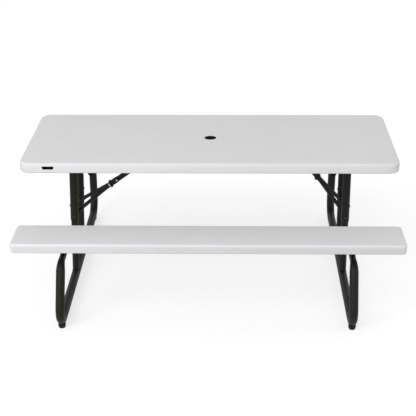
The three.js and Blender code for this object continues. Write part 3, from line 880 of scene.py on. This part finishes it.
def bolt_tree(name, sides):
    """A geometry tree that puts a bolt with a head and a nut on each source point."""
    tree, wire, size = new_tree(name, ["Shank", "Head", "Head height", "Nut height"])
    heading = wire.node(
        "GeometryNodeInputNamedAttribute", {"data_type": "FLOAT_VECTOR"}, {"Name": "heading"}
    )
    grip = wire.node("GeometryNodeInputNamedAttribute", {"data_type": "FLOAT"}, {"Name": "grip"})
    turn = wire.node("FunctionNodeAlignRotationToVector", {"axis": "Z"}, {"Vector": heading})
    shank = wire.node(
        "GeometryNodeMeshCylinder", sockets={"Vertices": 20, "Radius": size["Shank"], "Depth": 1.0}
    )
    shank = wire.node(
        "GeometryNodeTransform", sockets={"Geometry": shank, "Translation": (0, 0, 0.5)}
    )
    stretch = wire.node("ShaderNodeCombineXYZ", sockets={"X": 1.0, "Y": 1.0, "Z": grip})
    offset = wire.node("ShaderNodeVectorMath", {"operation": "SCALE"}, {0: heading, "Scale": grip})
    ends = wire.node("GeometryNodeSetPosition", sockets={"Geometry": size["Source"], "Offset": offset})
    head = bolt_end(wire, sides, size["Head"], size["Head height"], True)
    nut = bolt_end(wire, sides, size["Head"], size["Nut height"], False)
    made = joined(
        wire,
        on_points(wire, size["Source"], shank, turn, Scale=stretch),
        on_points(wire, size["Source"], head, turn),
        on_points(wire, ends, nut, turn),
    )
    end_tree(wire, made, size["Finish"])
    return tree


def bolt_points(nodes, head, nut):
    """Points under the heads of bolt nodes, with the way each bolt goes and the length it grips."""
    places, headings, grips = [], [], []
    for node in nodes:
        low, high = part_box(node)
        reach = high - low
        axis = max(range(3), key=lambda k: reach[k])
        middle = (low + high) / 2
        inwards = Vector((0, 0, 0))
        inwards[axis] = -1 if middle[axis] > 0 else 1
        middle[axis] = (high[axis] if inwards[axis] < 0 else low[axis]) + inwards[axis] * head
        places.append(middle)
        headings += list(inwards)
        grips.append(reach[axis] - head - nut)
    mesh = bpy.data.meshes.new("bolt_points")
    mesh.from_pydata(places, [], [])
    mesh.attributes.new("heading", "FLOAT_VECTOR", "POINT").data.foreach_set("vector", headings)
    mesh.attributes.new("grip", "FLOAT", "POINT").data.foreach_set("value", grips)
    return mesh


hexagon_bolts, button_bolts = bolt_tree("hexagon_bolts", 6), bolt_tree("button_bolts", 24)
leg_sizes = {"Shank": 0.004, "Head": 0.0065, "Head height": 0.002, "Nut height": 0.002}
brace_sizes = {"Shank": 0.004, "Head": 0.0075, "Head height": 0.005, "Nut height": 0.006}
hinge_sizes = {"Shank": 0.005, "Head": 0.0085, "Head height": 0.005, "Nut height": 0.006}
bolt_crease = 25.0
for end in ("right", "left"):
    leg, table = f"{end}_frame", "table"
    for name, tree, sizes, body, bolted in (
        ("leg_bolts", button_bolts, leg_sizes, leg, ("near_leg_bolt", "far_leg_bolt")),
        ("fork_bolts", hexagon_bolts, brace_sizes, leg, ("near_brace_bolt", "far_brace_bolt")),
        ("hinge_bolts", hexagon_bolts, hinge_sizes, table, ("near_hinge_pin", "far_hinge_pin")),
        ("link_bolt", hexagon_bolts, brace_sizes, table, ("brace_pin",)),
    ):
        nodes = [f"{end}_{node}" for node in bolted]
        points = bolt_points(nodes, sizes["Head height"], sizes["Nut height"])
        mesh = grown(f"{end}_{name}", tree, points, sizes, black_zinc, bolt_crease)
        add_piece(f"{end}_{name}", mesh, body, nodes)


# Bracket screws: washer headed hexagon screws driven up into the boards through the flanges of the
# brackets, four to a bracket under the table and two to a bracket under a bench.
screws, wire, size = new_tree("bracket_screws", ["Head", "Head height", "Washer", "Washer height"])
washer = wire.node(
    "GeometryNodeMeshCylinder",
    sockets={"Vertices": 28, "Radius": size["Washer"], "Depth": size["Washer height"]},
)
drop = wire.node("ShaderNodeCombineXYZ", sockets={"Z": -0.5 * size["Washer height"]})
washer = wire.node("GeometryNodeTransform", sockets={"Geometry": washer, "Translation": drop})
drop = wire.node("ShaderNodeCombineXYZ", sockets={"Z": -1 * size["Washer height"]})
head = bolt_end(wire, 6, size["Head"], size["Head height"], True)
head = wire.node("GeometryNodeTransform", sockets={"Geometry": head, "Translation": drop})
screw = joined(wire, washer, head)
whole = wire.node(
    "GeometryNodeInstanceOnPoints", sockets={"Points": size["Source"], "Instance": screw}
)
end_tree(wire, whole, size["Finish"])

plate_steel = 0.003
screw_sizes = {"Head": 0.0042, "Head height": 0.0035, "Washer": 0.0050, "Washer height": 0.0010}
for node, body in brackets.items():
    low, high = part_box(node)
    middle = (low + high) / 2
    if body == "table":
        inset_x, inset_y = 0.014, 0.009
        rows = (low.y + inset_y, high.y - inset_y)
    else:
        inset_x = 0.005
        rows = (middle.y,)
    columns = (low.x + inset_x, high.x - inset_x)
    points = bpy.data.meshes.new("screw_points")
    points.from_pydata([(x, y, high.z - plate_steel) for x in columns for y in rows], [], [])
    mesh = grown(f"{node}_screws", screws, points, screw_sizes, black_zinc, bolt_crease)
    add_piece(f"{node}_screws", mesh, body)


# Studio: a white floor and an even white surround, with a broad soft light from the front, a near lamp
# at the left and a weak one at the right. The camera stands before the near bench and looks down on it.
def seen_rays(wire):
    """1 for rays that the camera sees, straight, in a gloss or through something clear, and else 0."""
    seen = wire.node("ShaderNodeLightPath", output="Is Camera Ray")
    for kind in ("Is Glossy Ray", "Is Transmission Ray"):
        seen = wire.math("MAXIMUM", seen, wire.node("ShaderNodeLightPath", output=kind))
    return seen


floor_mesh = bpy.data.meshes.new("floor")
reach = 30.0
floor_corners = [(-reach, -reach, 0), (reach, -reach, 0), (reach, reach, 0), (-reach, reach, 0)]
floor_mesh.from_pydata(floor_corners, [], [(0, 1, 2, 3)])
floor_white, wire = new_material("floor_white")
surface(
    wire,
    Base_Color=(0.36, 0.36, 0.36, 1),
    Roughness=1.0,
    Specular_IOR_Level=0.0,
    Emission_Color=mixed(wire, seen_rays(wire), (0, 0, 0, 1), (0.70, 0.70, 0.70, 1)),
    Emission_Strength=1.0,
)
floor = placed("floor", painted(floor_mesh, floor_white))

world = bpy.data.worlds.new("studio")
bpy.context.scene.world = world
world.use_nodes = True
world.node_tree.nodes.clear()
wire = Wire(world.node_tree)
strength = 0.66 + 0.34 * seen_rays(wire)
light = wire.node("ShaderNodeBackground", sockets={"Color": (1, 1, 1, 1), "Strength": strength})
wire.node("ShaderNodeOutputWorld", sockets={"Surface": light})

lamp = bpy.data.lights.new("front_lamp", "SUN")
lamp.energy = 1.3
lamp.angle = radians(50)
lamp_object = placed("front_lamp", lamp)
lamp_object.rotation_euler = (radians(58), 0, radians(-24))

for name, energy, place, aim in (
    ("left_lamp", 36.0, (-2.2, -3.2, 1.6), (-0.4, -0.5, 0.55)),
    ("right_lamp", 11.0, (3.3, -0.8, 0.62), (0.7, -0.2, 0.55)),
):
    side_lamp = bpy.data.lights.new(name, "AREA")
    side_lamp.shape = "DISK"
    side_lamp.size = 1.2
    side_lamp.energy = energy
    side_object = placed(name, side_lamp)
    side_object.location = place
    side_object.rotation_euler = (Vector(aim) - Vector(place)).to_track_quat("-Z", "Y").to_euler()

camera = bpy.data.cameras.new("camera")
camera.lens = 97.37
camera.sensor_width = 36.0
camera_object = placed("camera", camera)
pitch, yaw, roll = radians(22.76), radians(1.42), radians(-0.37)
look = Matrix.Rotation(yaw, 4, "Z") @ Matrix.Rotation(pi / 2 - pitch, 4, "X")
look = look @ Matrix.Rotation(roll, 4, "Z")
camera_object.matrix_world = Matrix.Translation((0.1195, -5.4024, 2.6167)) @ look
bpy.context.scene.camera = camera_object
bpy.context.scene.view_settings.view_transform = "Standard"
